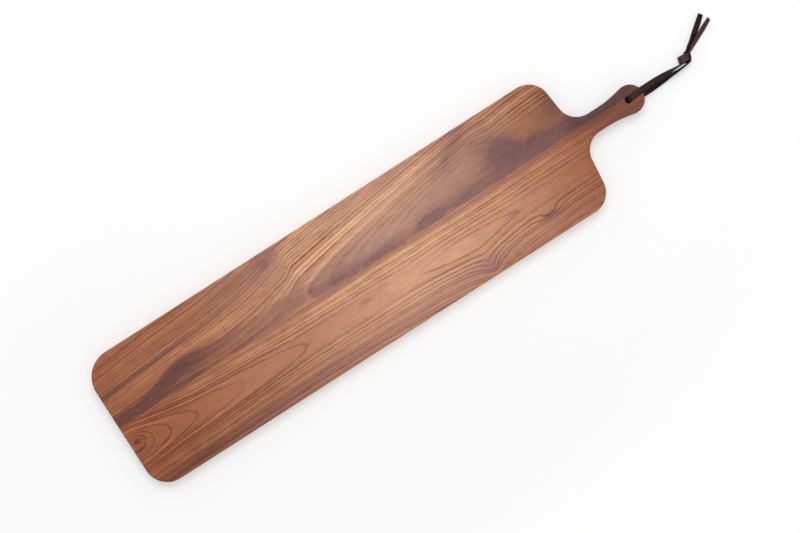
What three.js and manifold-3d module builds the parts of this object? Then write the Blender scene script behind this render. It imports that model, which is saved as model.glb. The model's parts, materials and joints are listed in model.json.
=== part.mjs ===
// A long walnut serving and cutting board: two edge-glued staves cut to one outline with a waisted
// handle, and a leather lace looped through the handle's hole and tied in an overhand knot.
// X runs along the board to the handle, Y across it, Z up from the table. Millimetres and degrees.

import * as THREE from 'three';
import { mergeVertices } from 'three/addons/utils/BufferGeometryUtils.js';
import Module from 'manifold-3d';

// Panel: the wide rectangle of the board
const PANEL_LENGTH = 700;
const PANEL_WIDTH = 190;
const THICKNESS = 18;
const EDGE_ROUND = 2.5;
const END_CORNER_LEFT = 38;
const END_CORNER_RIGHT = 32;

// Shoulders, neck and bulb of the handle
const SHOULDER_CORNER = 30;
const SHOULDER_SLOPE = 6;
const NECK_FILLET = 28;
const NECK_WIDTH = 28;
const NECK_SWEEP = 160;
const BULB_WIDTH = 38.5;
const HANDLE_LENGTH = 104;
const HANDLE_SHIFT = 3.6;

// Hanging hole, a little behind and to the left of the bulb's centre, and the relief under the handle
// that gives the lace room, so the board lies flat
const HOLE_DIAMETER = 9;
const HOLE_BACK = 2.4;
const HOLE_SIDE = 0.6;
const HOLE_EASE = 1.2;
const RELIEF_HEIGHT = 3;
const RELIEF_START = 12;
const RELIEF_RAMP = 40;

// Glued seam between the staves, as its offset from the panel's middle at both ends of the board
const SEAM_AT_END = 2;
const SEAM_AT_TIP = 7.5;
const GLUE_FILM = 0.1;
const GLUE_CLEARANCE = 0.01;

// Leather lace
const LACE_WIDTH = 8;
const LACE_THICKNESS = 2;
const LACE_CHAMFER = 0.4;
const LACE_CLEARANCE = 0.3;
const LACE_BEND = 3.6;
const LACE_INSET_TOP = 0.5;
const LACE_INSET_BOTTOM = -0.8;
const LACE_TURN_REACH = 5;
const LACE_STEP = 4;

// Overhand knot: a belt of lace folded round a core that the tails leave
const KNOT_LENGTH = 16;
const KNOT_WIDTH = 11;
const KNOT_HEIGHT = 9;
const KNOT_CORE_LENGTH = 14;
const KNOT_CORE_SHIFT = 3.8;
const KNOT_CORE_HEIGHT = 5;
const KNOT_REACH = 69.5;
const KNOT_SIDE = 6.8;
const KNOT_BELT_ANGLE = -4;
const KNOT_CORE_ANGLE = 33;

// Facets of round stretches
const ARC_SEGMENTS = 8;
const ROUND_SEGMENTS = 3;
const HOLE_SEGMENTS = 32;

// Cutters reach this far past what they cut; vertices closer than the merge distance are one
const CUT_MARGIN = 20;
const MERGE_DISTANCE = 1e-4;

const wasm = await Module();
wasm.setup();

const walnutLeft = new THREE.MeshStandardMaterial({ color: '#a67663', roughness: 0.55, metalness: 0 });
const walnutRight = new THREE.MeshStandardMaterial({ color: '#ad7963', roughness: 0.55, metalness: 0 });
const driedGlue = new THREE.MeshStandardMaterial({ color: '#83594a', roughness: 0.6, metalness: 0 });
const leather = new THREE.MeshStandardMaterial({ color: '#372a2b', roughness: 0.6, metalness: 0 });

const slope = THREE.MathUtils.degToRad(SHOULDER_SLOPE);
const bulbRadius = BULB_WIDTH / 2;
const boardLength = PANEL_LENGTH + HANDLE_LENGTH;
const bulb = new THREE.Vector2(boardLength - bulbRadius, HANDLE_SHIFT);
const hole = new THREE.Vector2(bulb.x - HOLE_BACK, bulb.y + HOLE_SIDE);
const reliefEnd = PANEL_LENGTH + RELIEF_START + RELIEF_RAMP;

// Turns a closed three.js geometry into a solid that can be joined and cut.
function solidOf(geometry) {
  const bare = geometry.index ? geometry.toNonIndexed() : geometry.clone();
  bare.deleteAttribute('normal');
  bare.deleteAttribute('uv');
  const merged = mergeVertices(bare, MERGE_DISTANCE);
  return new wasm.Manifold(new wasm.Mesh({
    numProp: 3,
    vertProperties: new Float32Array(merged.attributes.position.array),
    triVerts: new Uint32Array(merged.index.array),
  }));
}

function geometryOf(solid) {
  const mesh = solid.getMesh();
  const geometry = new THREE.BufferGeometry();
  geometry.setAttribute('position', new THREE.BufferAttribute(mesh.vertProperties, 3));
  geometry.setIndex(new THREE.BufferAttribute(mesh.triVerts, 1));
  return geometry;
}

function named(name, geometry, material) {
  const mesh = new THREE.Mesh(geometry, material);
  mesh.name = name;
  return mesh;
}

// A flat outline raised from one height to another.
function prism(outline, low, high) {
  const geometry = new THREE.ExtrudeGeometry(outline, { depth: high - low, bevelEnabled: false });
  return geometry.translate(0, 0, low);
}

// An outline drawn in X and Z, carried across the board from -width/2 to +width/2.
function crosswise(outline, width) {
  const geometry = new THREE.ExtrudeGeometry(outline, {
    depth: width,
    bevelEnabled: false,
    curveSegments: ARC_SEGMENTS,
  });
  return geometry.translate(0, 0, -width / 2).rotateX(Math.PI / 2);
}

// Where the shoulder's corner arc and the neck's fillet are centred along X. Both touch the sloping
// shoulder line, which crosses the panel's nominal end half way between the panel's edge and the neck.
function shoulderCentres(neckEdge) {
  const panelEdge = PANEL_WIDTH / 2;
  const middle = (panelEdge + neckEdge) / 2;
  const alongLine = (distance) => (middle - distance) * Math.tan(slope);
  return {
    corner: PANEL_LENGTH + alongLine(panelEdge - SHOULDER_CORNER) - SHOULDER_CORNER / Math.cos(slope),
    fillet: PANEL_LENGTH + alongLine(neckEdge + NECK_FILLET) + NECK_FILLET / Math.cos(slope),
  };
}

// The board seen from above, drawn counter-clockwise from the end corner on its right (-Y) side.
// Straight stretches join each arc to the next.
function boardOutline() {
  const edge = PANEL_WIDTH / 2;
  const neckRight = NECK_WIDTH / 2 - HANDLE_SHIFT;
  const neckLeft = NECK_WIDTH / 2 + HANDLE_SHIFT;
  const right = shoulderCentres(neckRight);
  const left = shoulderCentres(neckLeft);
  const sweepAside = NECK_WIDTH / 2 + NECK_SWEEP;
  const sweepBack = Math.sqrt((NECK_SWEEP + bulbRadius) ** 2 - sweepAside ** 2);
  const sweepX = bulb.x - sweepBack;
  const meet = Math.atan2(sweepAside, sweepBack);
  const quarter = Math.PI / 2;

  const outline = new THREE.Shape();
  outline.absarc(END_CORNER_RIGHT, END_CORNER_RIGHT - edge, END_CORNER_RIGHT, -Math.PI, -quarter, false);
  outline.absarc(right.corner, SHOULDER_CORNER - edge, SHOULDER_CORNER, -quarter, -slope, false);
  outline.absarc(right.fillet, -neckRight - NECK_FILLET, NECK_FILLET, Math.PI - slope, quarter, true);
  outline.absarc(sweepX, bulb.y - sweepAside, NECK_SWEEP, quarter, meet, true);
  outline.absarc(bulb.x, bulb.y, bulbRadius, meet - Math.PI, Math.PI - meet, false);
  outline.absarc(sweepX, bulb.y + sweepAside, NECK_SWEEP, -meet, -quarter, true);
  outline.absarc(left.fillet, neckLeft + NECK_FILLET, NECK_FILLET, -quarter, slope - Math.PI, true);
  outline.absarc(left.corner, edge - SHOULDER_CORNER, SHOULDER_CORNER, slope, quarter, false);
  outline.absarc(END_CORNER_LEFT, edge - END_CORNER_LEFT, END_CORNER_LEFT, quarter, Math.PI, false);
  return outline;
}

// The hole's cutter: a cylinder that flares in a quarter round at the two faces it breaks through.
function holeCutter() {
  const radius = HOLE_DIAMETER / 2;
  const rim = radius + HOLE_EASE;
  const profile = new THREE.Path();
  profile.moveTo(0, RELIEF_HEIGHT - CUT_MARGIN);
  profile.lineTo(rim, RELIEF_HEIGHT - CUT_MARGIN);
  profile.absarc(rim, RELIEF_HEIGHT + HOLE_EASE, HOLE_EASE, -Math.PI / 2, -Math.PI, true);
  profile.absarc(rim, THICKNESS - HOLE_EASE, HOLE_EASE, Math.PI, Math.PI / 2, true);
  profile.lineTo(rim, THICKNESS + CUT_MARGIN);
  profile.lineTo(0, THICKNESS + CUT_MARGIN);
  const cutter = new THREE.LatheGeometry(profile.getPoints(ROUND_SEGMENTS), HOLE_SEGMENTS);
  return cutter.rotateX(Math.PI / 2).translate(hole.x, hole.y, 0);
}

// What is planed off below the handle: a ramp from the panel's underside, then a flat to the tip.
function reliefCutter() {
  const rampSlope = RELIEF_HEIGHT / RELIEF_RAMP;
  const side = new THREE.Shape([
    new THREE.Vector2(reliefEnd - (RELIEF_HEIGHT + CUT_MARGIN) / rampSlope, -CUT_MARGIN),
    new THREE.Vector2(boardLength + CUT_MARGIN, -CUT_MARGIN),
    new THREE.Vector2(boardLength + CUT_MARGIN, RELIEF_HEIGHT),
    new THREE.Vector2(reliefEnd, RELIEF_HEIGHT),
  ]);
  return crosswise(side, PANEL_WIDTH + CUT_MARGIN);
}

// The slice of the board between two offsets from the seam, from one place along X to another.
function seamSlice(fromX, toX, lowOffset, highOffset) {
  const seamAt = (x) => SEAM_AT_END + (SEAM_AT_TIP - SEAM_AT_END) * (x / boardLength);
  const slice = new THREE.Shape([
    new THREE.Vector2(fromX, seamAt(fromX) + lowOffset),
    new THREE.Vector2(toX, seamAt(toX) + lowOffset),
    new THREE.Vector2(toX, seamAt(toX) + highOffset),
    new THREE.Vector2(fromX, seamAt(fromX) + highOffset),
  ]);
  return solidOf(prism(slice, -CUT_MARGIN, THICKNESS + CUT_MARGIN));
}

// The glued-up board before it is told apart into staves and glue.
function boardBlank() {
  const outline = new THREE.ExtrudeGeometry(boardOutline(), {
    depth: THICKNESS - 2 * EDGE_ROUND,
    curveSegments: ARC_SEGMENTS,
    bevelThickness: EDGE_ROUND,
    bevelSize: EDGE_ROUND,
    bevelOffset: -EDGE_ROUND,
    bevelSegments: ROUND_SEGMENTS,
  });
  const raised = solidOf(outline.translate(0, 0, EDGE_ROUND));
  return raised.subtract(solidOf(reliefCutter())).subtract(solidOf(holeCutter()));
}

function woodenBoard() {
  const blank = boardBlank();
  const before = -CUT_MARGIN;
  const after = boardLength + CUT_MARGIN;
  const film = GLUE_FILM / 2;
  const stave = film + GLUE_CLEARANCE;
  const part = (slice) => geometryOf(blank.intersect(slice));

  const board = new THREE.Group();
  board.add(named('left_stave', part(seamSlice(before, after, stave, PANEL_WIDTH)), walnutLeft));
  board.add(named('right_stave', part(seamSlice(before, after, -PANEL_WIDTH, -stave)), walnutRight));
  board.add(named('glue_line', part(seamSlice(before, hole.x, -film, film)), driedGlue));
  board.add(named('glue_line_tip', part(seamSlice(hole.x, after, -film, film)), driedGlue));
  return board;
}

// A strip's centre line through chosen stations, each a place and a turn about the line: at 0 the
// strip lies flat, at 90 it stands on edge with its upper face to the left.
class StripRoute extends THREE.CatmullRomCurve3 {
  constructor(stations) {
    super(stations.map(([x, y, z]) => new THREE.Vector3(x, y, z)), false, 'centripetal');
    this.turns = stations.map((station) => THREE.MathUtils.degToRad(station[3]));
  }

  turnAt(t) {
    const place = t * (this.turns.length - 1);
    const before = Math.min(Math.floor(place), this.turns.length - 2);
    const ease = THREE.MathUtils.smoothstep(place - before, 0, 1);
    return THREE.MathUtils.lerp(this.turns[before], this.turns[before + 1], ease);
  }

  computeFrenetFrames(segments) {
    const frames = { tangents: [], normals: [], binormals: [] };
    for (let step = 0; step <= segments; step += 1) {
      const t = this.getUtoTmapping(step / segments);
      const tangent = this.getTangent(t);
      const left = new THREE.Vector3(0, 0, 1).cross(tangent).normalize();
      const across = left.applyAxisAngle(tangent, -this.turnAt(t));
      frames.tangents.push(tangent);
      frames.normals.push(across);
      frames.binormals.push(new THREE.Vector3().crossVectors(tangent, across));
    }
    return frames;
  }
}

// A free stretch of lace: its chamfered section carried along the route.
function laceStretch(stations) {
  const w = LACE_WIDTH / 2;
  const h = LACE_THICKNESS / 2;
  const section = new THREE.Shape([
    new THREE.Vector2(-w, -h + LACE_CHAMFER),
    new THREE.Vector2(-w + LACE_CHAMFER, -h),
    new THREE.Vector2(w - LACE_CHAMFER, -h),
    new THREE.Vector2(w, -h + LACE_CHAMFER),
    new THREE.Vector2(w, h - LACE_CHAMFER),
    new THREE.Vector2(w - LACE_CHAMFER, h),
    new THREE.Vector2(-w + LACE_CHAMFER, h),
    new THREE.Vector2(-w, h - LACE_CHAMFER),
  ]);
  const route = new StripRoute(stations);
  const steps = Math.round(route.getLength() / LACE_STEP);
  return new THREE.ExtrudeGeometry(section, { steps, extrudePath: route });
}

// The lace where it turns through the hole: a C seen from the side, with its back in the hole, where
// it slants because the strand on top is drawn nearer the tip than the slack one below.
function laceHoleTurn(topLevel, bottomLevel) {
  const half = LACE_THICKNESS / 2;
  const topX = LACE_INSET_TOP + LACE_BEND;
  const bottomX = LACE_INSET_BOTTOM + LACE_BEND;
  const topBend = topLevel - LACE_BEND;
  const bottomBend = bottomLevel + LACE_BEND;
  const quarter = Math.PI / 2;
  const side = new THREE.Shape();
  side.moveTo(LACE_TURN_REACH, topLevel + half);
  side.absarc(topX, topBend, LACE_BEND + half, quarter, Math.PI, false);
  side.absarc(bottomX, bottomBend, LACE_BEND + half, Math.PI, 3 * quarter, false);
  side.lineTo(LACE_TURN_REACH, bottomLevel - half);
  side.lineTo(LACE_TURN_REACH, bottomLevel + half);
  side.absarc(bottomX, bottomBend, LACE_BEND - half, 3 * quarter, Math.PI, true);
  side.absarc(topX, topBend, LACE_BEND - half, Math.PI, quarter, true);
  side.lineTo(LACE_TURN_REACH, topLevel - half);
  return crosswise(side, LACE_WIDTH);
}

// A pad with two half-round ends, long in X and lying flat: a doubled fold of lace.
function foldedPad(length, width, height) {
  const end = length / 2 - height / 2;
  const side = new THREE.Shape();
  side.absarc(end, 0, height / 2, -Math.PI / 2, Math.PI / 2, false);
  side.absarc(-end, 0, height / 2, Math.PI / 2, 1.5 * Math.PI, false);
  return crosswise(side, width);
}

function laceKnot() {
  const belt = foldedPad(KNOT_LENGTH, KNOT_WIDTH, KNOT_HEIGHT);
  belt.rotateZ(THREE.MathUtils.degToRad(KNOT_BELT_ANGLE));
  const core = foldedPad(KNOT_CORE_LENGTH, LACE_WIDTH, KNOT_CORE_HEIGHT);
  core.translate(KNOT_CORE_SHIFT, 0, 0).rotateZ(THREE.MathUtils.degToRad(KNOT_CORE_ANGLE));
  return geometryOf(solidOf(belt).add(solidOf(core)));
}

// The lace, placed about the hole's axis. Free stretches are given by hand-chosen stations, those
// beyond the handle counted from its tip.
function leatherLace() {
  const topLevel = THICKNESS + LACE_CLEARANCE + LACE_THICKNESS / 2;
  const bottomLevel = RELIEF_HEIGHT - LACE_CLEARANCE - LACE_THICKNESS / 2;
  const start = LACE_TURN_REACH + LACE_CLEARANCE;
  const tip = bulbRadius + HOLE_BACK;

  const topStrand = laceStretch([
    [start, 0, topLevel, 0],
    [start + 2, 0.05, topLevel, 0],
    [tip - 11, 1, topLevel, 0],
    [tip - 4, 2, topLevel, 0],
    [tip + 2, 2.15, topLevel - 0.2, 0],
    [tip + 16, 2.3, topLevel - 3.3, 2],
    [tip + 30, 2.15, topLevel - 8, 25],
    [tip + 42, 2.15, 8.2, 52],
    [tip + 51, 2.1, 6.2, 72],
    [tip + 60.7, 1.9, 5, 84],
  ]);
  const bottomStrand = laceStretch([
    [start, 0, bottomLevel, 0],
    [start + 2, -0.05, bottomLevel, 0],
    [tip - 11, -1.1, bottomLevel, 0],
    [tip - 4, -3.1, bottomLevel, 0],
    [tip + 3, -4, bottomLevel - 0.2, 0],
    [tip + 16, -3.85, 1.4, 3],
    [tip + 30, -3.1, 2.6, 21],
    [tip + 42, -2.8, 4.1, 51],
    [tip + 52, -2.9, 4.8, 68],
    [tip + 62, -2.6, 4.8, 82],
    [tip + 71, -1.7, 4.8, 88],
    [tip + 74.3, -1, 4.8, 88],
  ]);
  const leftTail = laceStretch([
    [tip + 79, 12.8, 4.6, -68],
    [tip + 83.3, 16.1, 4.3, -58],
    [tip + 90.8, 20.65, 3.8, -45],
    [tip + 104.4, 30.7, 2.6, -18],
    [tip + 119.5, 43.3, 3.3, -35],
  ]);
  const rightTail = laceStretch([
    [tip + 80.6, 10.3, 4.6, -68],
    [tip + 94.3, 17.3, 4.2, -51],
    [tip + 110.6, 25.4, 3.9, -41],
    [tip + 125.4, 32.6, 4.1, -53],
  ]);

  const lace = new THREE.Group();
  const knot = named('lace_knot', laceKnot(), leather);
  knot.position.set(tip + KNOT_REACH, KNOT_SIDE, KNOT_HEIGHT / 2 + LACE_CLEARANCE);
  lace.add(named('lace_hole_turn', laceHoleTurn(topLevel, bottomLevel), leather));
  lace.add(named('lace_top_strand', topStrand, leather));
  lace.add(named('lace_bottom_strand', bottomStrand, leather));
  lace.add(knot);
  lace.add(named('lace_left_tail', leftTail, leather));
  lace.add(named('lace_right_tail', rightTail, leather));
  lace.position.set(hole.x, hole.y, 0);
  return lace;
}

// The origin is under the middle of the wooden board.
const cuttingBoard = new THREE.Group();
cuttingBoard.name = 'cutting_board';
cuttingBoard.add(woodenBoard());
cuttingBoard.add(leatherLace());
cuttingBoard.position.x = -boardLength / 2;

export default cuttingBoard;
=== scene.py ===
import json
from math import atan2, cos, degrees, pi, radians, sqrt, tan

import bmesh
import bpy
import numpy as np
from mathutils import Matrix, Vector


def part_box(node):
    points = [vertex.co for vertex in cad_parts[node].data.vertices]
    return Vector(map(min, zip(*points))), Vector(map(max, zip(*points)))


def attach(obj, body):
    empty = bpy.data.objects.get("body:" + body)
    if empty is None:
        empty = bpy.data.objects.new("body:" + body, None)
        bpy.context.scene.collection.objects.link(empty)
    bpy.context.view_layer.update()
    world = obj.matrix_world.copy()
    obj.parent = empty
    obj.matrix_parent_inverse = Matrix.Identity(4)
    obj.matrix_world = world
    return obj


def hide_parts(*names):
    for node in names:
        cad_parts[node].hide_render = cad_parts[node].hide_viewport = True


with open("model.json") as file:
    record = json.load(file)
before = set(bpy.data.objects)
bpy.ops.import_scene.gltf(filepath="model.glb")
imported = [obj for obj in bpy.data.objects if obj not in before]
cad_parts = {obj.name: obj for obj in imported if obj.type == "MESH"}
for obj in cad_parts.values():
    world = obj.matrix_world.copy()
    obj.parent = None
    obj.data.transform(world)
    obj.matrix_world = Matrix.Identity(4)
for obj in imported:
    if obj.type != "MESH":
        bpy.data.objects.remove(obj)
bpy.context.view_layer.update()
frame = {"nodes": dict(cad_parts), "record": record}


# Left stave
# The upper left plank of the pair: solid walnut, with dark heartwood along its glued edge.
# It is sawn to the outline with its half of the handle, rounded over all round, sanded and oiled.

MM = 0.001
stave_low, stave_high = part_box("left_stave")
SQUARE_END = stave_low.x / MM
PANEL_EDGE = stave_high.y / MM
THICKNESS = stave_high.z / MM
PANEL_LENGTH = 700.0
BOARD_LENGTH = 804.0
PANEL_END = SQUARE_END + PANEL_LENGTH
HOLE_X, HOLE_Y = [place / MM for place in frame["record"]["behaviour"]["joints"][0]["pos_m"][:2]]
EDGE_ROUND = 2.5
END_CORNER = {1: 38.0, -1: 32.0}
SHOULDER_CORNER = 30.0
SHOULDER_SLOPE = 6.0
NECK_FILLET = 28.0
NECK_WIDTH = 28.0
NECK_SWEEP = 160.0
BULB_RADIUS = 19.25
BULB_X = SQUARE_END + BOARD_LENGTH - BULB_RADIUS
BULB_Y = 3.6
HOLE_RADIUS = 4.5
HOLE_EASE = 1.2
RELIEF_HEIGHT = 3.0
RELIEF_START = 12.0
RELIEF_RAMP = 40.0
SEAM_AT_END = 2.0
SEAM_AT_TIP = 7.5
SEAM_SLOPE = (SEAM_AT_TIP - SEAM_AT_END) / BOARD_LENGTH
SEAM_HALF_GAP = 0.06
HOLE_POINTS = {1: 20, -1: 53}
TIP_POINTS = {1: 16, -1: 9}
ROUND_STEPS = 9
FACE_ROWS = 38
FACE_MARGIN = 0.025
WALL_MARGIN = 0.004
MERGE_DISTANCE = 1e-6
SHARP_ANGLE = 40.0


def seam_line(x, side):
    """The glued edge's y at x: a straight line over the board, half the glue gap to the stave's side."""
    return SEAM_AT_END + SEAM_SLOPE * (x - SQUARE_END) + side * SEAM_HALF_GAP


def seam_crossing(x, y, radius, side, way):
    """The angle from a circle's centre at which the circle meets the glued edge, ahead (1) or behind (-1).

    It is a root of the quadratic that puts a point of the straight edge at the radius from the centre.
    """
    rise = seam_line(x, side) - y
    reach = sqrt((SEAM_SLOPE * rise) ** 2 + (1 + SEAM_SLOPE**2) * (radius**2 - rise**2))
    along = (-SEAM_SLOPE * rise + way * reach) / (1 + SEAM_SLOPE**2)
    return degrees(atan2(SEAM_SLOPE * along + rise, along))


def stave_outline(side, inset):
    """A stave's outer edge in plan, from the glued edge at the square end to the glued edge at the tip.

    Arcs (centre + radius * (cos a, side * sin a), hollow ones with a negative radius) are joined by
    straights, and each point then moves inwards along its normal by the inset. A row of the arcs gives
    the number of points on the straight before it, its centre, radius and angles, and its own points.
    """
    neck = side * BULB_Y + NECK_WIDTH / 2
    middle = (PANEL_EDGE + neck) / 2
    slope = radians(SHOULDER_SLOPE)
    corner = END_CORNER[side]
    shoulder_x = PANEL_END + (middle - PANEL_EDGE + SHOULDER_CORNER) * tan(slope)
    shoulder_x -= SHOULDER_CORNER / cos(slope)
    fillet_x = PANEL_END + (middle - neck - NECK_FILLET) * tan(slope) + NECK_FILLET / cos(slope)
    sweep_side = NECK_WIDTH / 2 + NECK_SWEEP
    sweep_back = sqrt((NECK_SWEEP + BULB_RADIUS) ** 2 - sweep_side**2)
    meet = 180 - degrees(atan2(sweep_side, sweep_back))
    tip = side * seam_crossing(BULB_X, BULB_Y, BULB_RADIUS - inset, side, 1)
    arcs = [
        (22, SQUARE_END + corner, side * (PANEL_EDGE - corner), corner, 180, 90, 24),
        (270, shoulder_x, side * (PANEL_EDGE - SHOULDER_CORNER), SHOULDER_CORNER, 90, SHOULDER_SLOPE, 22),
        (8, fillet_x, side * (neck + NECK_FILLET), -NECK_FILLET, SHOULDER_SLOPE, 90, 22),
        (4, BULB_X - sweep_back, BULB_Y + side * sweep_side, -NECK_SWEEP, 90, meet, 24),
        (0, BULB_X, BULB_Y, BULB_RADIUS, meet, tip, 52),
    ]
    points = [np.array([[SQUARE_END, seam_line(SQUARE_END, side)]])]
    normals = [np.array([[-1.0, 0.0]])]
    for straight, x, y, radius, start, end, count in arcs:
        angle = np.radians(np.linspace(start, end, count))
        normal = np.stack([np.cos(angle), side * np.sin(angle)], axis=1)
        arc = np.array([x, y]) + radius * normal
        share = np.linspace(0, 1, straight + 2)[1:-1, None]
        points += [points[-1][-1] * (1 - share) + arc[0] * share, arc[0 if straight else 1:]]
        normals += [np.repeat(normal[:1], straight, axis=0), normal[0 if straight else 1:]]
    outline = np.concatenate(points) - inset * np.concatenate(normals)
    outline[0, 1] = seam_line(outline[0, 0], side)
    return outline


def glued_edge(side, inset, bore, count):
    """A stave's inner edge in plan: along the seam to the hole, round the hole, and on to the tip.

    It has as many points as the outline, spread along the seam as the outline's points are along the
    panel, and its ends are the outline's own ends at that inset.
    """
    hole_end = count - TIP_POINTS[side]
    hole_start = hole_end - HOLE_POINTS[side]
    tip_start = seam_crossing(HOLE_X, HOLE_Y, bore, side, 1)
    tip_end = radians(seam_crossing(BULB_X, BULB_Y, BULB_RADIUS - inset, side, 1))
    hole_back = seam_crossing(HOLE_X, HOLE_Y, bore, side, -1)
    hole_turn = np.linspace(hole_back, tip_start + (0 if side > 0 else 360), HOLE_POINTS[side])
    hole_turn = np.radians(hole_turn)
    corner_point, shoulder_point, neck_point = 46, 316, 370
    corner_x, shoulder_x, neck_x = SQUARE_END + 46, PANEL_END - 40, PANEL_END + 32
    seam_x = np.interp(
        np.arange(hole_start),
        [0, corner_point, shoulder_point, neck_point, hole_start],
        [SQUARE_END + inset, corner_x, shoulder_x, neck_x, HOLE_X + bore * cos(radians(hole_back))],
    )
    tip_x = np.linspace(
        HOLE_X + bore * cos(radians(tip_start)),
        BULB_X + (BULB_RADIUS - inset) * cos(tip_end),
        TIP_POINTS[side] + 1,
    )[1:]
    x = np.concatenate([seam_x, HOLE_X + bore * np.cos(hole_turn), tip_x])
    y = np.concatenate([seam_line(seam_x, side), HOLE_Y + bore * np.sin(hole_turn), seam_line(tip_x, side)])
    return np.stack([x, y], axis=1)


def soft_step(x, start, end):
    """A smooth rise from 0 at start to 1 at end: 3 s^2 - 2 s^3 of the share of the way."""
    share = np.clip((x - start) / (end - start), 0, 1)
    return share**2 * (3 - 2 * share)


def at_height(plan, depth, share):
    """Plan points lifted to a share of the way down from the top to the underside, a depth in from each.

    The underside is level under the panel and lifts under the handle by a smooth step.
    """
    relief_x = PANEL_END + RELIEF_START
    under = RELIEF_HEIGHT * soft_step(plan[:, 0], relief_x, relief_x + RELIEF_RAMP)
    height = (THICKNESS - depth) * (1 - share) + (under + depth) * share
    return np.concatenate([plan, height[:, None]], axis=1)


def stave_surface(side):
    """A stave's closed skin as a ring of rows, each row running from the square end to the tip.

    The outer wall is a quarter round, a flat and a quarter round. The inner wall is the glued edge and
    the eased hole. The two faces are ruled between them.
    """
    turn = np.radians(np.linspace(0, 90, ROUND_STEPS))
    round_in = EDGE_ROUND * (1 - np.sin(turn))
    round_down = EDGE_ROUND * (1 - np.cos(turn))
    levels = np.concatenate([
        np.stack([round_in, round_down, 0 * turn], axis=1),
        [[0, EDGE_ROUND, 1 / 3], [0, EDGE_ROUND, 2 / 3]],
        np.stack([round_in, round_down, 0 * turn + 1], axis=1)[::-1],
    ])
    outer, inner = [], []
    for inset, depth, share in levels:
        outline = stave_outline(side, inset)
        hollow = max(HOLE_EASE - depth, 0)
        bore = HOLE_RADIUS + HOLE_EASE - sqrt(HOLE_EASE**2 - hollow**2)
        outer.append(at_height(outline, depth, share))
        inner.append(at_height(glued_edge(side, inset, bore, len(outline)), depth, share))
    even = np.linspace(FACE_MARGIN, 1 - FACE_MARGIN, FACE_ROWS)
    across = np.concatenate([[WALL_MARGIN], even, [1 - WALL_MARGIN]])[:, None, None]
    under = outer[-1][:, :2] * (1 - across) + inner[-1][:, :2] * across
    under = np.stack([at_height(row, 0, 1) for row in under])
    top = inner[0] * (1 - across) + outer[0] * across
    return np.concatenate([np.stack(outer), under, np.stack(inner[::-1]), top])


def closed_skin(name, rows, **fields):
    """A mesh object from a ring of rows in millimetres: quads between neighbours, doubled points merged.

    A field is a value for each point of the rows, kept on the mesh under its own name.
    """
    count, length = rows.shape[:2]
    ring, step = np.meshgrid(np.arange(count), np.arange(length - 1), indexing="ij")
    here = ring * length + step
    beyond = (ring + 1) % count * length + step
    faces = np.stack([here, here + 1, beyond + 1, beyond], axis=-1)
    mesh = bpy.data.meshes.new(name)
    mesh.from_pydata((rows.reshape(-1, 3) * MM).tolist(), [], faces.reshape(-1, 4).tolist())
    for field, values in fields.items():
        layer = mesh.attributes.new(field, "FLOAT", "POINT")
        layer.data.foreach_set("value", values.astype(np.float32).ravel())
    shape = bmesh.new()
    shape.from_mesh(mesh)
    bmesh.ops.remove_doubles(shape, verts=shape.verts, dist=MERGE_DISTANCE)
    bmesh.ops.recalc_face_normals(shape, faces=shape.faces)
    shape.to_mesh(mesh)
    shape.free()
    mesh.shade_smooth()
    mesh.set_sharp_from_angle(angle=radians(SHARP_ANGLE))
    made = bpy.data.objects.new(name, mesh)
    bpy.context.scene.collection.objects.link(made)
    return made


def spots(x, y, rows):
    """The sum of soft oval spots: strength * exp(-(along / length)^2 - (across / width)^2).

    A row is x, y, half length, half width, tilt in degrees, strength.
    """
    px, py, length, width, tilt, strength = np.array(rows, float).T[:, :, None]
    along = (x - px) * np.cos(np.radians(tilt)) + (y - py) * np.sin(np.radians(tilt))
    across = (y - py) * np.cos(np.radians(tilt)) - (x - px) * np.sin(np.radians(tilt))
    return (strength * np.exp(-((along / length) ** 2) - (across / width) ** 2)).sum(axis=0)


def smooth_line(x, places, values, reach):
    """A line through points, rounded at its bends: its mean over seven steps within the reach."""
    return np.mean([np.interp(x + step, places, values) for step in np.linspace(-reach, reach, 7)], axis=0)


def stain(piece, growth, areas):
    """Stores a plank's figure on its points: the growth, its slope along the face, and the coloured areas.

    The slope is the growth's change per mm, from one mm to either side, without its part along the normal.
    """
    count = len(piece.data.vertices)
    place = np.empty(count * 3, np.float32)
    facing = np.empty(count * 3, np.float32)
    piece.data.vertices.foreach_get("co", place)
    piece.data.vertices.foreach_get("normal", facing)
    facing = facing.reshape(-1, 3)
    x, y, z = (place.reshape(-1, 3) / MM).T
    change = np.stack([
        growth(x + 1, y, z) - growth(x - 1, y, z),
        growth(x, y + 1, z) - growth(x, y - 1, z),
        growth(x, y, z + 1) - growth(x, y, z - 1),
    ], axis=1) / 2
    change -= (change * facing).sum(axis=1, keepdims=True) * facing
    fields = {"growth": growth(x, y, z), "slope": np.linalg.norm(change, axis=1), **areas(x, y, z)}
    for name, values in fields.items():
        layer = piece.data.attributes.new(name, "FLOAT", "POINT")
        layer.data.foreach_set("value", values.astype(np.float32))


HEART_Y = 16.5
PITH_DEPTH = 61.0
RING_RATE = 1.6
RING_TAPER = 0.1
INNER_RING = 68.5
HEART_RING = 97.5


def left_parabola(x, y, z):
    """The ring distance past the turn in the grain: parabolas that open towards the handle.

    It is the distance from the pith's line, less a tenth of the way along, times the rings' rate.
    """
    pith = PITH_DEPTH - 0.9 * (THICKNESS - z)
    return RING_RATE * (np.sqrt((y - HEART_Y) ** 2 + pith**2) - RING_TAPER * (x + 108))


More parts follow.
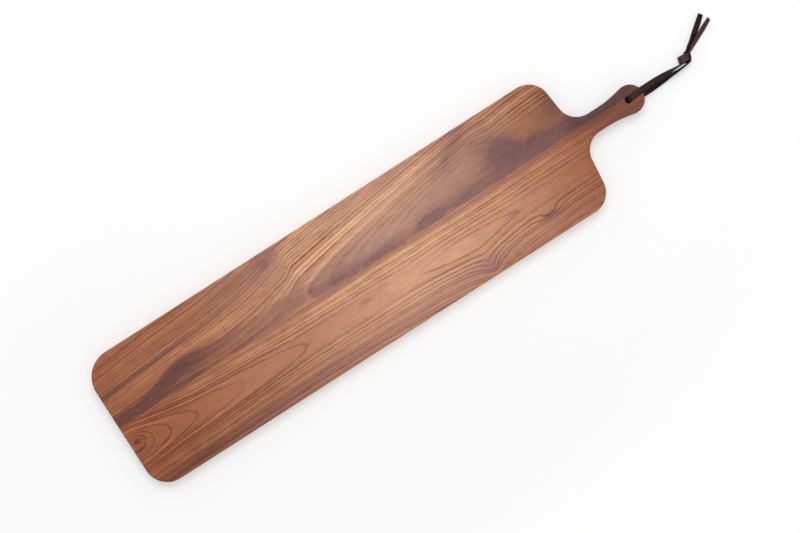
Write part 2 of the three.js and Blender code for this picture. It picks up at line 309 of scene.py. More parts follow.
def left_growth(x, y, z):
    """The left plank's growth in mm of ring distance.

    Up to the turn in the grain the rings climb along the plank. Past it they are the parabolas, held
    level inside the innermost one, and by the shoulder they lie along the plank again. Through the
    thickness they lean alike on both sides of the turn.
    """
    lean = 1.2 * (z - THICKNESS)
    climb = smooth_line(x, [-402, -303, -231, -166, -114, -90], [-1, 9, 13, 22, 37, 42], 15)
    near_end = y - climb * (0.3 + 0.7 * soft_step(y, 2, 45)) + 102 + 6 * soft_step(y, 25, 50)
    near_end += lean * soft_step(x, -330, -110) - spots(x, y, [(-292, 20, 40, 14, 15, 5)])
    level = INNER_RING + 0.1 * (y - 14)
    swept = level + 2.5 * np.logaddexp(0, (left_parabola(x, y, z) - 70) / 2.5)
    by_shoulder = y + 11 * ((294 - x) / 108) ** 2 - 10 + lean * (1 - soft_step(x, 200, 330))
    by_shoulder = level + 4 * np.logaddexp(0, (by_shoulder - 51.7) / 4)
    growth = near_end + (swept - near_end) * soft_step(x, -120, -98)
    growth += (by_shoulder - growth) * soft_step(x - 0.5 * (y - 60), 172, 205)
    return growth + 0.25 * (z - THICKNESS)


def left_areas(x, y, z):
    """The strengths of the left plank's coloured areas.

    The smoky wedge lies under a line along the seam, the smoky tongue inside a ring of the parabolas,
    and the rest are a streak along a line and soft spots.
    """
    wedge = np.interp(
        x,
        [-402, -365, -349, -329, -306, -284, -262, -231, -190, -150, -110],
        [18, 18, 22, 28, 35, 38, 36, 31, 30, 33, 30],
    )
    smoke = np.interp(x, [-402, -340, -280, -262, -225, -110, -80], [1.1, 1.3, 1.3, 0.8, 0.4, 0.25, 0])
    under = wedge - y
    smoky = soft_step(under, -1, 5) * (1 - 0.55 * soft_step(under, 15, 26))
    steep = RING_RATE * np.hypot(RING_TAPER, (y - HEART_Y) / np.hypot(y - HEART_Y, PITH_DEPTH))
    inside = soft_step((HEART_RING - left_parabola(x, y, z)) / steep, 0, 6) * soft_step(x, -108, -98)
    streak = smooth_line(x, [-402, -303, -231, -166, -114], [45, 52, 57, 66, 82], 15)
    streak = np.exp(-(((y - streak) / 3.4) ** 2))
    streak *= np.interp(x, [-402, -303, -231, -130, -110], [1.3, 1.1, 0.5, 0.5, 0])
    dark = streak + smoke * smoky + inside * np.interp(x, [-100, -60, 40, 200, 260], [0.45, 0.6, 0.4, 0.4, 0])
    dark += spots(x, y, [
        (-40, 9, 60, 8, 0, 0.3), (30, 10, 75, 8, 0, 0.6), (86, 13, 17, 9, 0, 0.6), (-180, 8, 60, 4, 0, 0.25),
        (150, 16, 60, 12, 0, 0.4), (211, 37, 17, 16, -10, 1.5), (190, 27, 26, 12, 0, 0.4),
        (236, 24, 20, 12, 0, 0.6), (264, 21, 24, 11, 0, 1.1), (255, 24, 7, 2.5, 15, -0.5),
        (184, 56, 18, 13, 40, 0.2), (345, 16, 60, 14, 0, 1.6), (-170, 83, 75, 9, 8, 0.4),
        (-126, 82, 20, 14, 25, 0.4), (165, 84, 36, 9, 30, 0.6), (288, 48, 22, 20, 0, 0.5),
        (240, 10, 60, 8, 0, 0.65),
    ])
    patch = soft_step(x, -112, -102) * (1 - soft_step(x, -75, 0)) * soft_step(y, 38, 52)
    gold = 0.8 * patch + spots(x, y, [
        (-330, 53, 90, 6, 4, 0.8), (-345, 37, 50, 6, 8, 0.6), (-215, 42, 90, 6, 0, 1.0),
        (-200, 30, 70, 3, 2, 0.6), (-10, 64, 85, 16, 9, 0.6), (60, 52, 60, 11, 12, 0.6),
        (250, 74, 55, 15, 0, 1.7), (110, 84, 40, 10, 20, 0.5), (110, 62, 40, 8, 14, 0.5),
    ])
    # Paler wood over the middle of the plank: partly its own tone, partly painted sheen.
    pale = spots(x, y, [(-20, 45, 130, 70, 0, 0.8), (110, 50, 90, 40, 0, 0.5)])
    # Richer towards both ends: partly the handle's own darker wood, partly painted shade that keeps the ends
    # darker than the middle.
    rich = spots(x, y, [(235, 20, 55, 22, 0, -0.16)]) + np.interp(
        x,
        [-402, -330, -265, -200, -90, 90, 210, 260, 330, 402],
        [0.85, 0.7, 0.65, 0.4, 0.05, 0, 0.25, 0.5, 0.55, 0.68],
    )
    deep = 1.8 * soft_step(x, 270, 320) + 0.8 * smoky * np.minimum(smoke, 1) + spots(x, y, [
        (268, 66, 45, 30, 0, 1.0), (235, 25, 52, 20, 0, 0.8), (-115, 20, 35, 14, 0, 0.6),
        (10, 55, 70, 14, 8, -0.8), (5, 22, 45, 14, 0, -0.5),
    ])
    calm = 0.15 + 0.8 * smoky * smoke + 0.6 * inside + spots(x, y, [
        (-130, 18, 50, 16, 0, 0.9), (225, 30, 60, 22, 0, 1.0), (60, 68, 75, 22, 10, 0.3),
    ])
    return {
        "dark": dark,
        "gold": gold,
        "pale": pale,
        "rich": rich,
        "deep": deep,
        "calm": np.minimum(calm, 1),
        "mark": np.interp(x, [-120, -95], [0.25, 0.5]) * (1 - np.minimum(smoky * smoke, 1)),
    }


def new_material(name):
    """A node material, its tree and its surface shader."""
    material = bpy.data.materials.new(name)
    material.use_nodes = True
    return material, material.node_tree, material.node_tree.nodes["Principled BSDF"]


def add_node(tree, kind, inputs, **settings):
    """A node with its settings, whose inputs are given as values or as other nodes' outputs."""
    made = tree.nodes.new(kind)
    for name, value in settings.items():
        setattr(made, name, value)
    for name, value in inputs.items():
        if isinstance(value, bpy.types.NodeSocket):
            tree.links.new(value, made.inputs[name])
        else:
            made.inputs[name].default_value = value
    return made


def calc(tree, operation, *values):
    """A Math node's result."""
    return add_node(tree, "ShaderNodeMath", dict(enumerate(values)), operation=operation).outputs[0]


def swing(tree, noise, amount, base=0.0):
    """A noise's departure from its middle value, times an amount, added to a base."""
    return calc(tree, "MULTIPLY_ADD", calc(tree, "SUBTRACT", noise, 0.5), amount, base)


def remap(tree, value, low, high, start, end):
    """A value's smooth rise from start to end while it goes from low to high."""
    inputs = {"Value": value, "From Min": low, "From Max": high, "To Min": start, "To Max": end}
    return add_node(tree, "ShaderNodeMapRange", inputs, interpolation_type="SMOOTHSTEP").outputs["Result"]


def tint(tree, share, under, over, blend="MIX"):
    """Two colours mixed by a share."""
    inputs = {0: share, 6: under, 7: over}
    return add_node(tree, "ShaderNodeMix", inputs, data_type="RGBA", blend_type=blend).outputs[2]


def linear(red, green, blue):
    """A colour written in display values from 0 to 255, as the shader's linear colour."""
    values = np.array([red, green, blue]) / 255
    curve = np.where(values > 0.04045, ((values + 0.055) / 1.055) ** 2.4, values / 12.92)
    return (*curve.tolist(), 1.0)


def stretched_noise(tree, place, scale, detail=3.0, rough=0.55):
    """Noise on Object coordinates, with its own frequency per metre along each axis."""
    mapped = add_node(tree, "ShaderNodeMapping", {"Vector": place, "Scale": scale}).outputs["Vector"]
    inputs = {"Vector": mapped, "Scale": 1.0, "Detail": detail, "Roughness": rough}
    return add_node(tree, "ShaderNodeTexNoise", inputs).outputs["Fac"]


def ring_noise(tree, growth, scale, detail=2.0):
    """Noise along the growth direction alone, so that it runs along the rings."""
    inputs = {"W": growth, "Scale": scale, "Detail": detail, "Roughness": 0.6}
    return add_node(tree, "ShaderNodeTexNoise", inputs, noise_dimensions="1D").outputs["Fac"]


def oiled_walnut(name, tones, ring_width, ring_start):
    """Walnut whose rings follow the growth field, with fine fibres and short pores along the plank.

    Each tone is a deep and a light colour: the plain wood's, and those of the pale, gold and dark areas.
    The pale areas are partly paler wood and partly painted sheen over the middle of the board.
    Streaks and ring lines along the growth choose between the two, less where the wood is calm, and the
    rich areas are darkened by a warm colour: partly the handle's own darker wood, partly painted shade
    that keeps the ends of the board darker than its middle. A ring line has the same breadth in mm wherever
    it runs.
    """
    material, tree, shader = new_material(name)
    place = add_node(tree, "ShaderNodeTexCoord", {}).outputs["Object"]
    field = {
        area: add_node(tree, "ShaderNodeAttribute", {}, attribute_name=area).outputs["Fac"]
        for area in ("growth", "slope", "rich", "pale", "gold", "dark", "deep", "calm", "mark")
    }
    wander = stretched_noise(tree, place, (10.0, 75.0, 75.0))
    cloud = stretched_noise(tree, place, (26.0, 60.0, 60.0))
    fleck = stretched_noise(tree, place, (75.0, 240.0, 240.0))
    fibres = stretched_noise(tree, place, (18.0, 560.0, 560.0), 4.0)
    pores = stretched_noise(tree, place, (130.0, 2600.0, 2600.0), 2.0)
    drift = swing(tree, fleck, 0.9, swing(tree, wander, 2.4))
    steep = calc(tree, "MINIMUM", calc(tree, "MULTIPLY_ADD", field["slope"], 1.8, 0.04), 1.0)
    growth = calc(tree, "MULTIPLY_ADD", drift, steep, field["growth"])
    bands = ring_noise(tree, growth, 0.14)
    streaks = ring_noise(tree, growth, 0.4, 3.0)

    turns = calc(tree, "DIVIDE", calc(tree, "SUBTRACT", growth, ring_start), ring_width)
    off = calc(tree, "SUBTRACT", calc(tree, "FRACT", calc(tree, "ADD", turns, 0.5)), 0.5)
    off = calc(tree, "MULTIPLY", calc(tree, "ABSOLUTE", off), ring_width)
    off = calc(tree, "DIVIDE", off, calc(tree, "MAXIMUM", field["slope"], 0.03))
    line = calc(tree, "MULTIPLY", remap(tree, off, 0.2, 1.7, 1.0, 0.0), field["mark"])
    line = calc(tree, "MULTIPLY", line, remap(tree, cloud, 0.3, 0.65, 1.2, 0.5))
    line = calc(tree, "MULTIPLY", line, calc(tree, "MULTIPLY_ADD", field["calm"], -0.7, 1.0))
    late = calc(tree, "MULTIPLY", remap(tree, calc(tree, "FRACT", turns), 0.3, 1.0, 0.0, 1.0), 0.3)

    # The pale areas mixed in here are partly painted sheen over the middle of the board.
    deep, light = tones["plain"]
    for area in ("pale", "gold", "dark"):
        patchy = calc(tree, "MULTIPLY", field[area], remap(tree, cloud, 0.3, 0.7, 0.75, 1.2))
        share = calc(tree, "MINIMUM", patchy, 1.0)
        deep = tint(tree, share, deep, tones[area][0])
        light = tint(tree, share, light, tones[area][1])

    figure = swing(tree, bands, 1.5, swing(tree, streaks, 1.9))
    figure = calc(tree, "MULTIPLY", figure, remap(tree, cloud, 0.3, 0.7, 0.7, 1.15))
    figure = calc(tree, "SUBTRACT", figure, late)
    figure = calc(tree, "MULTIPLY", figure, remap(tree, field["slope"], 0.08, 0.5, 0.1, 1.0))
    figure = calc(tree, "MULTIPLY", figure, calc(tree, "MULTIPLY_ADD", field["calm"], -0.8, 1.0))
    figure = calc(tree, "MULTIPLY", figure, calc(tree, "MULTIPLY_ADD", field["gold"], 0.5, 1.0))
    tone = calc(tree, "MULTIPLY_ADD", line, -0.85, figure)
    tone = swing(tree, fleck, 0.7, swing(tree, fibres, 0.9, tone))
    tone = calc(tree, "MULTIPLY_ADD", field["deep"], -0.45, tone)
    limits = {"Value": calc(tree, "ADD", tone, 0.72), "Min": -0.3, "Max": 1.25}
    tone = add_node(tree, "ShaderNodeClamp", limits).outputs["Result"]

    inputs = {0: tone, 6: deep, 7: light}
    colour = add_node(tree, "ShaderNodeMix", inputs, data_type="RGBA", clamp_factor=False).outputs[2]
    # The rich areas are darkened by the warm colour: partly the handle's own wood, partly painted shade
    # towards the ends.
    colour = tint(tree, field["rich"], colour, tones["tone_and_shade"], "MULTIPLY")
    shade = remap(tree, pores, 0.62, 0.72, 1.0, 0.8)
    grey = add_node(tree, "ShaderNodeCombineColor", {0: shade, 1: shade, 2: shade}).outputs["Color"]
    colour = tint(tree, 1.0, colour, grey, "MULTIPLY")
    tree.links.new(colour, shader.inputs["Base Color"])
    tree.links.new(remap(tree, fibres, 0.3, 0.7, 0.46, 0.58), shader.inputs["Roughness"])
    shader.inputs["Specular IOR Level"].default_value = 0.25
    pits = calc(tree, "MULTIPLY", remap(tree, pores, 0.6, 0.75, 0.0, 1.0), 1.2)
    relief = calc(tree, "SUBTRACT", fibres, pits)
    bump = add_node(tree, "ShaderNodeBump", {"Height": relief, "Strength": 0.25, "Distance": 0.0002})
    tree.links.new(bump.outputs["Normal"], shader.inputs["Normal"])
    return material


# A warm colour multiplied in where the wood is rich: the handle's own darker wood, and painted shade towards
# the board's ends.
WARM_TONE_AND_SHADE = (0.66, 0.4, 0.22, 1)
left_stave = closed_skin("left_stave_planed", stave_surface(1))
stain(left_stave, left_growth, left_areas)
# The pale tones are partly painted sheen; the warm tone is partly painted shade towards the ends.
left_tones = {
    "plain": (linear(142, 92, 72), linear(196, 142, 112)),
    "pale": (linear(170, 122, 108), linear(222, 172, 146)),
    "gold": (linear(160, 106, 78), linear(226, 174, 134)),
    "dark": (linear(100, 68, 70), linear(146, 106, 100)),
    "tone_and_shade": WARM_TONE_AND_SHADE,
}
left_walnut = oiled_walnut("walnut_with_dark_heart", left_tones, ring_width=5.0, ring_start=0.0)
left_stave.data.materials.append(left_walnut)
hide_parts("left_stave")
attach(left_stave, "board")


# Right stave
# The lower right plank: flat-sawn walnut, paler and pinker, with arched rings and small knots.
# It is sawn, rounded over, sanded and oiled with its neighbour, and carries the rest of the handle.

FACE_RING = 40.0
AXIS_DEPTH = 40.0
ARCH_HALF = 25.0
ARCH_POWER = 2.8


def right_growth(x, y, z):
    """The right plank's growth in mm of ring distance.

    The rings widen with the distance from an axis and taper along it: blunt arches near the square
    end, a level stretch after it, closed eyes where the face dips through a ring, and one pointed dip
    at the knot in the edge.
    """
    axis = smooth_line(x, [-402, -300, 60, 114, 170, 402], [-30, -36, -40, -42, -40, -36], 20)
    aside = np.abs(y - axis)
    blunt = ARCH_HALF * (1 + (aside / ARCH_HALF) ** ARCH_POWER) ** (1 / ARCH_POWER) - ARCH_HALF
    lean = np.sqrt(aside**2 + AXIS_DEPTH**2) - AXIS_DEPTH
    taper = smooth_line(
        x,
        [-402, -372, -347, -308, -235, -146, -45, 43, 114, 402],
        [-12, -9.6, -7.2, -4.8, -2.4, 0, 0.35, 0.5, 0.6, 1.6],
        12,
    )
    dips = spots(x, y, [
        (-390, -25, 13, 10, 0, 3.5), (106, -42, 62, 30, 0, 2.1), (217, -66, 16, 7, 0, 4),
        (-45, -32.5, 9, 5, 0, 0.4), (178, -40, 14, 4, 0, 0.5),
    ])
    dips += 12 * np.exp(-np.hypot(x - 118, 4) / 26 - ((y + 88) / 20) ** 2)
    across = blunt + (lean - blunt) * soft_step(x, -80, 30)
    through = 0.8 * (z - THICKNESS) * AXIS_DEPTH / np.hypot(aside, AXIS_DEPTH)
    return FACE_RING + across + taper - dips + through


def right_areas(x, y, z):
    """The strengths of the right plank's coloured areas, all sums of soft spots.

    They are its dark lower edge and knots, golden stretches, pale stretches that are partly painted sheen,
    and calm and marked figure.
    """
    dark = spots(x, y, [
        (-330, -90, 110, 10, 0, 0.6), (-200, -84, 140, 11, 0, 0.6), (-390, -25, 6, 4, 0, 1.8),
        (-393, -36, 7, 4, 0, 1.2), (-30, -82, 150, 9, 0, 0.35), (118, -83, 12, 5, 0, 0.9),
        (118, -78, 36, 7, 0, 0.3), (217, -66, 11, 4, 0, 1.0), (270, -70, 60, 26, 0, 0.35),
        (178, -40, 13, 2.5, 0, 0.6), (-45, -32.5, 7, 3, 0, 0.6), (370, 0, 60, 40, 0, 0.8),
        (105, -74, 95, 12, 0, 0.5),
    ])
    gold = spots(x, y, [
        (20, -9, 260, 8, 0, 0.8), (120, -60, 120, 10, 0, 0.3), (-270, -70, 110, 5, 4, 0.7),
        (-330, -8, 60, 5, -4, 0.5),
    ])
    # Paler stretches: partly the plank's own pale wood, partly painted sheen over the middle of the board.
    pale = spots(x, y, [(40, -32, 120, 26, 0, 1.0), (150, -26, 100, 18, 0, 0.5), (40, -62, 170, 18, 0, 0.5)])
    # Richer towards both ends: partly the handle's own darker wood, partly painted shade that keeps the ends
    # darker than the middle.
    rich = np.interp(x, [-402, -330, -200, -60, 60, 200, 290, 402], [0.9, 0.8, 0.4, 0.05, 0, 0.3, 0.75, 1.0])
    deep = 0.7 * soft_step(x, 280, 320) + spots(x, y, [
        (20, -6, 150, 6, 0, -0.6), (-165, -16, 60, 8, 0, -0.5), (-240, -64, 80, 7, 0, 0.8),
        (80, -80, 200, 8, 0, -1.0), (-350, -42, 50, 32, 0, 0.45), (-45, -33, 25, 8, 0, 0.4),
        (240, -22, 60, 10, 0, 0.3), (-345, -86, 80, 8, 0, 0.7), (105, -66, 60, 16, 0, -0.6),
    ])
    calm = spots(x, y, [
        (10, -33, 90, 12, 0, 0.8), (230, -38, 60, 14, 0, 0.6), (-230, -36, 60, 6, 0, 0.4),
        (365, -4, 65, 30, 0, 0.6),
    ])
    mark = 0.4 + spots(x, y, [
        (-350, -36, 60, 30, 0, 0.8), (-190, -36, 70, 22, 0, 0.7), (106, -42, 80, 20, 0, 1.4),
        (118, -76, 45, 14, 0, 0.6), (217, -66, 40, 12, 0, 0.5),
    ])
    return {"dark": dark, "gold": gold, "pale": pale, "rich": rich, "deep": deep, "calm": calm, "mark": mark}


right_stave = closed_skin("right_stave_planed", stave_surface(-1))
stain(right_stave, right_growth, right_areas)
# The pale tones are partly painted sheen; the warm tone is partly painted shade towards the ends.
right_tones = {
    "plain": (linear(152, 100, 78), linear(198, 142, 112)),
    "pale": (linear(184, 130, 102), linear(220, 168, 135)),
    "gold": (linear(160, 108, 80), linear(222, 170, 128)),
    "dark": (linear(112, 73, 68), linear(162, 117, 108)),
    "tone_and_shade": WARM_TONE_AND_SHADE,
}
right_walnut = oiled_walnut("walnut_flat_sawn", right_tones, ring_width=2.4, ring_start=FACE_RING)
right_stave.data.materials.append(right_walnut)
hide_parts("right_stave")
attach(right_stave, "board")


# Glue line
# The film of cured wood glue in the edge joint between the two staves, in two lengths because the
# hole cuts it. It was squeezed out under clamps and sanded flush, so it shows as a hairline.

glue, glue_tree, glue_shader = new_material("cured_wood_glue")
glue_place = add_node(glue_tree, "ShaderNodeTexCoord", {}).outputs["Object"]
glue_cloud = stretched_noise(glue_tree, glue_place, (220.0, 900.0, 900.0))
glue_colour = tint(glue_tree, glue_cloud, linear(112, 74, 60), linear(150, 104, 82))
glue_tree.links.new(glue_colour, glue_shader.inputs["Base Color"])
glue_tree.links.new(remap(glue_tree, glue_cloud, 0.3, 0.7, 0.4, 0.6), glue_shader.inputs["Roughness"])
for node in ("glue_line", "glue_line_tip"):
    frame["nodes"][node].data.materials.clear()
    frame["nodes"][node].data.materials.append(glue)


# Lace
# One flat strip of dark brown leather, pulled through the hole and tied in an overhand knot.
# It is cut from hide and dyed through, and its two halves are shown as two cords that meet in the hole.

LACE_WIDTH = 8.0
LACE_THICKNESS = 2.0
LACE_STEPS = 9
LACE_PROFILE_POINTS = 28
LACE_SIDE_POWER = 0.35
LACE_FACE_POWER = 0.5
LACE_END_RING = 0.8
LACE_MEETS = 10.5


def lace_route(stations):
    """A smooth route through stations: a Catmull-Rom curve of all their values.

    A station is x, y, z in mm from the hole's axis on the table, the direction across the strip, how much
    broader than usual a fold lies there, and how pale the leather is, from 0 to 1: partly wear and partly
    painted highlight and sheen, palest on top of the knot's band and along the right tail.
    """
    rows = np.array(stations, float)
    rows = np.concatenate([2 * rows[:1] - rows[1:2], rows, 2 * rows[-1:] - rows[-2:-1]])
    before, start, end, after = rows[:-3, None], rows[1:-2, None], rows[2:-1, None], rows[3:, None]
    t = np.linspace(0, 1, LACE_STEPS, endpoint=False)[None, :, None]
    curve = 0.5 * (
        2 * start
        + (end - before) * t
        + (2 * before - 5 * start + 4 * end - after) * t**2
        + (3 * start - before - 3 * end + after) * t**3
    )
    curve = np.concatenate([curve.reshape(-1, rows.shape[1]), rows[-2:-1]])
    return curve[:, :3] + np.array([HOLE_X, HOLE_Y, 0]), curve[:, 3:6], curve[:, 6], curve[:, 7]


def unit(vectors):
    """Each vector at length 1."""
    return vectors / np.linalg.norm(vectors, axis=-1, keepdims=True)


def lace_strip(name, stations):
    """A flat strip along a route: a superellipse as wide and thick as the lace, carried along it.

    The profile is (half width * cos^p a, half thickness * sin^q a), and the ends close on their middles.
    """
    path, across, breadth, dry = lace_route(stations)
    ahead = unit(np.gradient(path, axis=0))
    across = unit(across - (across * ahead).sum(axis=1, keepdims=True) * ahead)
    upper = np.cross(ahead, across)
    angle = np.linspace(0, 2 * pi, LACE_PROFILE_POINTS, endpoint=False)
    wide = np.sign(np.cos(angle)) * np.abs(np.cos(angle)) ** LACE_SIDE_POWER * LACE_WIDTH / 2
    thick = np.sign(np.sin(angle)) * np.abs(np.sin(angle)) ** LACE_FACE_POWER * LACE_THICKNESS / 2
    across = across * breadth[:, None]
    rings = path[:, None] + wide[None, :, None] * across[:, None] + thick[None, :, None] * upper[:, None]
    closing = np.array([0.0, LACE_END_RING])[:, None, None]
    first = path[0] + (rings[:1] - path[0]) * closing
    last = path[-1] + (rings[-1:] - path[-1]) * closing[::-1]
    rings = np.concatenate([first, rings, last]).transpose(1, 0, 2)
    dry = np.concatenate([dry[:1], dry[:1], dry, dry[-1:], dry[-1:]])
    made = closed_skin(name, rings, dry=np.repeat(dry[None], len(rings), axis=0))
    return made, path


# The last value of each station is the leather's paleness: partly wear, partly painted highlight on top of
# the knot's band.
upper_half, upper_path = lace_strip("lace_upper_half", [
    (-0.15, 0, LACE_MEETS, -0.15, 1, 0, 1, 0), (0.25, 0, 13.5, -0.15, 1, 0, 1, 0),
    (0.55, 0, 15.6, -0.15, 1, 0, 1, 0), (1.5, 0.05, 18.2, -0.15, 1, 0, 1, 0),
    (3.7, 0.25, 19.3, -0.1, 1, 0, 1, 0.1), (6.6, 0.65, 19.3, -0.1, 1, 0, 1.05, 0.3),
    (10.4, 1.4, 19.3, -0.1, 1, 0, 1.06, 0.3), (17.6, 2.1, 19.3, -0.05, 1, 0, 1.04, 0.3),
    (23.6, 2.15, 19.1, -0.02, 1, 0, 1, 0.2), (37.6, 2.3, 16.0, 0, 1, -0.03, 1, 0.1),
    (51.6, 2.15, 11.3, 0, 0.9, -0.43, 1, 0.05), (63.6, 2.15, 8.2, 0, 0.62, -0.78, 1, 0.05),
    (72.6, 2.1, 6.2, 0, 0.31, -0.95, 1, 0.1), (79.9, 1.9, 5.2, 0, 0.12, -0.99, 1, 0.1),
    (84.9, 1.8, 4.9, 0, 0.1, -0.99, 1, 0.1), (87.9, 2.4, 4.6, -0.05, 0.3, -0.95, 1, 0.1),
    (91.4, 3.8, 4.2, -0.15, 0.66, -0.74, 1, 0.1), (94.8, 5.2, 4.0, -0.1, 0.97, -0.2, 1, 0.2),
    (97.0, 5.8, 4.7, 0.1, 1, 0, 1.12, 0.4), (97.8, 6.0, 6.3, 0.25, 0.97, 0, 1.25, 0.5),
    (96.8, 6.1, 8.0, 0.2, 0.98, 0, 1.25, 0.65), (94.0, 6.3, 8.6, 0.1, 1, 0, 1.25, 0.75),
    (90.4, 6.6, 8.5, 0.08, 1, 0, 1.25, 0.75), (87.0, 6.9, 7.6, 0.15, 0.99, 0, 1.25, 0.7),
    (84.9, 7.0, 5.9, 0.25, 0.97, 0, 1.25, 0.6), (84.4, 6.9, 4.0, 0.25, 0.97, 0, 1.2, 0.6),
    (85.8, 6.4, 2.2, 0.25, 0.97, 0, 1.1, 0.4), (89.0, 5.0, 1.4, 0.42, 0.9, 0, 1, 0.3),
    (92.4, 3.0, 2.5, 0.4, 0.8, 0.4, 1, 0.2), (94.8, 2.0, 3.9, 0.2, 0.5, 0.8, 1, 0.1),
    (96.0, 3.0, 5.3, -0.5, 0.3, 0.8, 1, 0.1), (95.4, 5.8, 6.3, -0.95, 0.1, 0.3, 1, 0.1),
    (96.2, 8.8, 5.9, -0.85, 0.45, 0.3, 1, 0.1), (99.7, 11.6, 4.4, -0.3, 0.4, 0.87, 1, 0.05),
    (104.9, 15.9, 4.2, -0.32, 0.43, 0.84, 1, 0.05), (112.4, 20.65, 3.7, -0.42, 0.56, 0.71, 1, 0.1),
    (126.0, 30.7, 2.4, -0.57, 0.76, 0.31, 1, 0.1), (141.2, 43.3, 3.2, -0.49, 0.65, 0.57, 1, 0.15),
])
# The last value of each station is the leather's paleness: partly wear, partly painted sheen along the right
# tail.
lower_half, lower_path = lace_strip("lace_lower_half", [
    (-0.15, 0, LACE_MEETS, -0.15, 1, 0, 1, 0), (-0.6, 0, 7.5, -0.1, 1, 0, 1, 0),
    (-0.85, 0, 5.4, 0, 1, 0, 1, 0), (0.2, -0.05, 2.8, 0, 1, 0, 1, 0),
    (2.6, -0.2, 1.7, 0, 1, 0, 1, 0), (6.0, -0.5, 1.7, 0.1, 1, 0, 1, 0),
    (10.6, -1.4, 1.7, 0.2, 1, 0, 1, 0), (17.6, -3.2, 1.7, 0.2, 1, 0, 1, 0),
    (24.6, -4.0, 1.6, 0.05, 1, 0, 1, 0), (37.6, -3.85, 1.4, -0.03, 1, -0.05, 1, 0),
    (51.6, -3.1, 2.6, -0.03, 0.93, -0.36, 1, 0), (63.6, -2.8, 4.1, 0, 0.62, -0.78, 1, 0.1),
    (73.6, -2.9, 4.8, 0, 0.37, -0.93, 1, 0.1), (83.6, -2.6, 4.8, 0, 0.13, -0.99, 1, 0.1),
    (92.6, -1.7, 4.8, 0, 0.02, -1, 1, 0.1), (96.0, -1.1, 4.8, 0, 0, -1, 1, 0),
    (98.2, 1.0, 4.8, 0, 0, -1, 1, 0), (99.7, 4.0, 4.8, 0, 0, -1, 1, 0),
    (100.7, 7.0, 4.8, 0, 0, -1, 1, 0.1), (101.9, 9.4, 4.8, 0.1, -0.12, -0.98, 1, 0.2),
    (104.7, 11.1, 4.5, 0.22, -0.3, -0.93, 1, 0.55), (116.0, 17.3, 4.1, 0.38, -0.5, -0.78, 1, 0.65),
    (132.3, 25.4, 3.8, 0.45, -0.6, -0.66, 1, 0.55), (147.0, 32.6, 4.0, 0.36, -0.48, -0.8, 1, 0.75),
])

leather, leather_tree, leather_shader = new_material("dark_brown_leather")
leather_place = add_node(leather_tree, "ShaderNodeTexCoord", {}).outputs["Object"]
# The paleness along the lace, partly wear and partly painted highlight and sheen, mixes the dark leather
# towards a paler purple-brown.
leather_dry = add_node(leather_tree, "ShaderNodeAttribute", {}, attribute_name="dry").outputs["Fac"]
hide_cells = {"Vector": leather_place, "Scale": 1600.0}
hide = add_node(leather_tree, "ShaderNodeTexVoronoi", hide_cells).outputs["Distance"]
dye = stretched_noise(leather_tree, leather_place, (160.0, 160.0, 160.0))
leather_dry = calc(leather_tree, "ADD", leather_dry, remap(leather_tree, dye, 0.3, 0.7, -0.15, 0.2))
leather_colour = tint(leather_tree, leather_dry, linear(33, 17, 17), linear(78, 54, 57))
leather_tree.links.new(leather_colour, leather_shader.inputs["Base Color"])
leather_shader.inputs["Specular IOR Level"].default_value = 0.12
leather_tree.links.new(remap(leather_tree, dye, 0.3, 0.7, 0.5, 0.62), leather_shader.inputs["Roughness"])
pebble = add_node(leather_tree, "ShaderNodeBump", {"Height": hide, "Strength": 0.35, "Distance": 0.0002})
leather_tree.links.new(pebble.outputs["Normal"], leather_shader.inputs["Normal"])

for half, path, nodes in (
    (upper_half, upper_path, ("lace_hole_turn", "lace_top_strand", "lace_knot", "lace_left_tail")),
    (lower_half, lower_path, ("lace_bottom_strand", "lace_right_tail")),
):
    half.data.materials.append(leather)
    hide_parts(*nodes)
    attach(half, "lace")


# Floor, light and camera
# A plain white table under a large soft lamp and an even white surround, with the camera straight
# above, turned so that the board runs up to the right.

FLOOR_REACH = 4.0
FLOOR_DROP = 0.0002
FLOOR_CELLS = 8
floor_length = FLOOR_CELLS + 1
floor_side = np.linspace(-FLOOR_REACH, FLOOR_REACH, floor_length)
floor_x, floor_y = np.meshgrid(floor_side, floor_side, indexing="ij")
floor_points = np.stack([floor_x, floor_y, 0 * floor_x - FLOOR_DROP], axis=-1).reshape(-1, 3)
floor_row, floor_column = np.meshgrid(np.arange(FLOOR_CELLS), np.arange(FLOOR_CELLS), indexing="ij")
floor_here = (floor_row * floor_length + floor_column).ravel()
floor_beyond = floor_here + floor_length
floor_faces = np.stack([floor_here, floor_beyond, floor_beyond + 1, floor_here + 1], axis=1)
floor_mesh = bpy.data.meshes.new("table")
floor_mesh.from_pydata(floor_points.tolist(), [], floor_faces.tolist())
floor = bpy.data.objects.new("table", floor_mesh)
bpy.context.scene.collection.objects.link(floor)


def seen_rays(tree):
    """1 where a surface is looked at, straight or by way of gloss or glass, and 0 where it only lights."""
    rays = add_node(tree, "ShaderNodeLightPath", {}).outputs
    seen = calc(tree, "MAXIMUM", rays["Is Camera Ray"], rays["Is Glossy Ray"])
    return calc(tree, "MAXIMUM", seen, rays["Is Transmission Ray"])


def table_reach(centre, reach):
    """A place's distance from a centre on the table, as a share of the reach along X and along Y."""
    inputs = {
        "Vector": table_place,
        "Location": (-centre[0] / reach[0], -centre[1] / reach[1], 0.0),
        "Scale": (1 / reach[0], 1 / reach[1], 0.0),
    }
    mapped = add_node(table_tree, "ShaderNodeMapping", inputs).outputs["Vector"]
    return add_node(table_tree, "ShaderNodeVectorMath", {0: mapped}, operation="LENGTH").outputs["Value"]


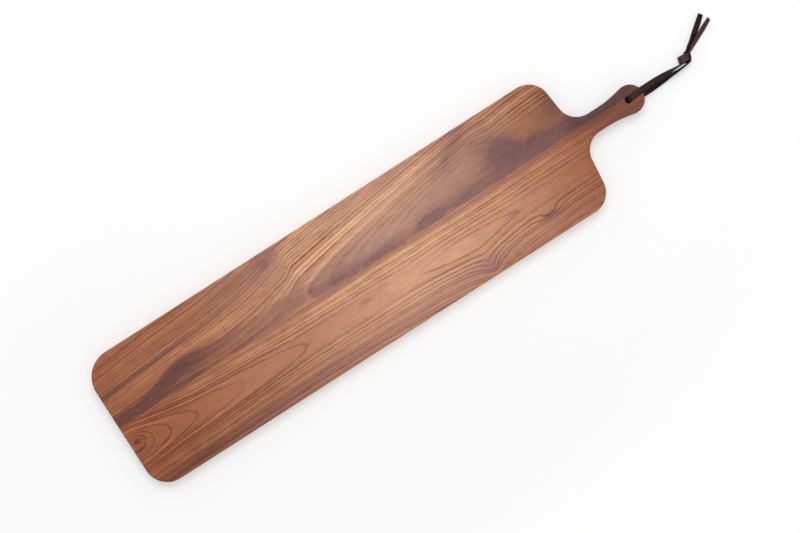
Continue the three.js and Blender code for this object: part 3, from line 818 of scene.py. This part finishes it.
SHADE_CENTRE = (0.06, 0.0)
SHADE_REACH = (0.75, 0.4)
HOLE_SHADE_REACH = (0.01, 0.01)
table_white, table_tree, table_shader = new_material("white_table")
table_shader.inputs["Base Color"].default_value = (0.97, 0.97, 0.97, 1)
table_shader.inputs["Roughness"].default_value = 0.9
table_place = add_node(table_tree, "ShaderNodeTexCoord", {}).outputs["Object"]
table_far = remap(table_tree, table_reach(SHADE_CENTRE, SHADE_REACH), 0.65, 1.3, 0.4, 1.0)
table_hole = table_reach((HOLE_X * MM, HOLE_Y * MM), HOLE_SHADE_REACH)
table_hole = remap(table_tree, table_hole, 1.0, 1.6, 0.0, 1.0)
table_share = calc(table_tree, "MULTIPLY", table_far, table_hole)
table_share = calc(table_tree, "MULTIPLY", table_share, seen_rays(table_tree))
table_glow = add_node(table_tree, "ShaderNodeEmission", {"Color": (1, 1, 1, 1), "Strength": 1.0})
table_mix = add_node(table_tree, "ShaderNodeMixShader", {0: table_share})
table_tree.links.new(table_shader.outputs["BSDF"], table_mix.inputs[1])
table_tree.links.new(table_glow.outputs["Emission"], table_mix.inputs[2])
table_tree.links.new(table_mix.outputs["Shader"], table_tree.nodes["Material Output"].inputs["Surface"])
floor_mesh.materials.append(table_white)

SURROUND_LIGHT = 0.65
surround = bpy.data.worlds.new("white_surround")
surround.use_nodes = True
surround_tree = surround.node_tree
surround_seen = seen_rays(surround_tree)
surround_light = surround_tree.nodes["Background"]
surround_light.inputs["Color"].default_value = (1, 1, 1, 1)
surround_strength = calc(surround_tree, "MULTIPLY_ADD", surround_seen, 1 - SURROUND_LIGHT, SURROUND_LIGHT)
surround_tree.links.new(surround_strength, surround_light.inputs["Strength"])
bpy.context.scene.world = surround

lamp = bpy.data.lights.new("soft_lamp", "AREA")
lamp.shape = "DISK"
lamp.size = 2.4
lamp.energy = 50.0
lamp_object = bpy.data.objects.new("soft_lamp", lamp)
lamp_object.location = (0.9, 1.3, 3.0)
lamp_object.rotation_euler = (radians(-23), radians(17), 0)
bpy.context.scene.collection.objects.link(lamp_object)

CAMERA_X = 0.0162
CAMERA_Y = -0.0178
CAMERA_TURN = -32.67
PICTURE_WIDTH = 800
PIXELS_PER_METRE = 775
camera = bpy.data.cameras.new("camera_above")
camera.lens = 85.0
camera.sensor_width = 36.0
camera_distance = PICTURE_WIDTH / PIXELS_PER_METRE * camera.lens / camera.sensor_width
camera_object = bpy.data.objects.new("camera_above", camera)
camera_object.location = (CAMERA_X, CAMERA_Y, THICKNESS * MM + camera_distance)
camera_object.rotation_euler = (0, 0, radians(CAMERA_TURN))
bpy.context.scene.collection.objects.link(camera_object)
bpy.context.scene.camera = camera_object
bpy.context.scene.view_settings.view_transform = "Standard"
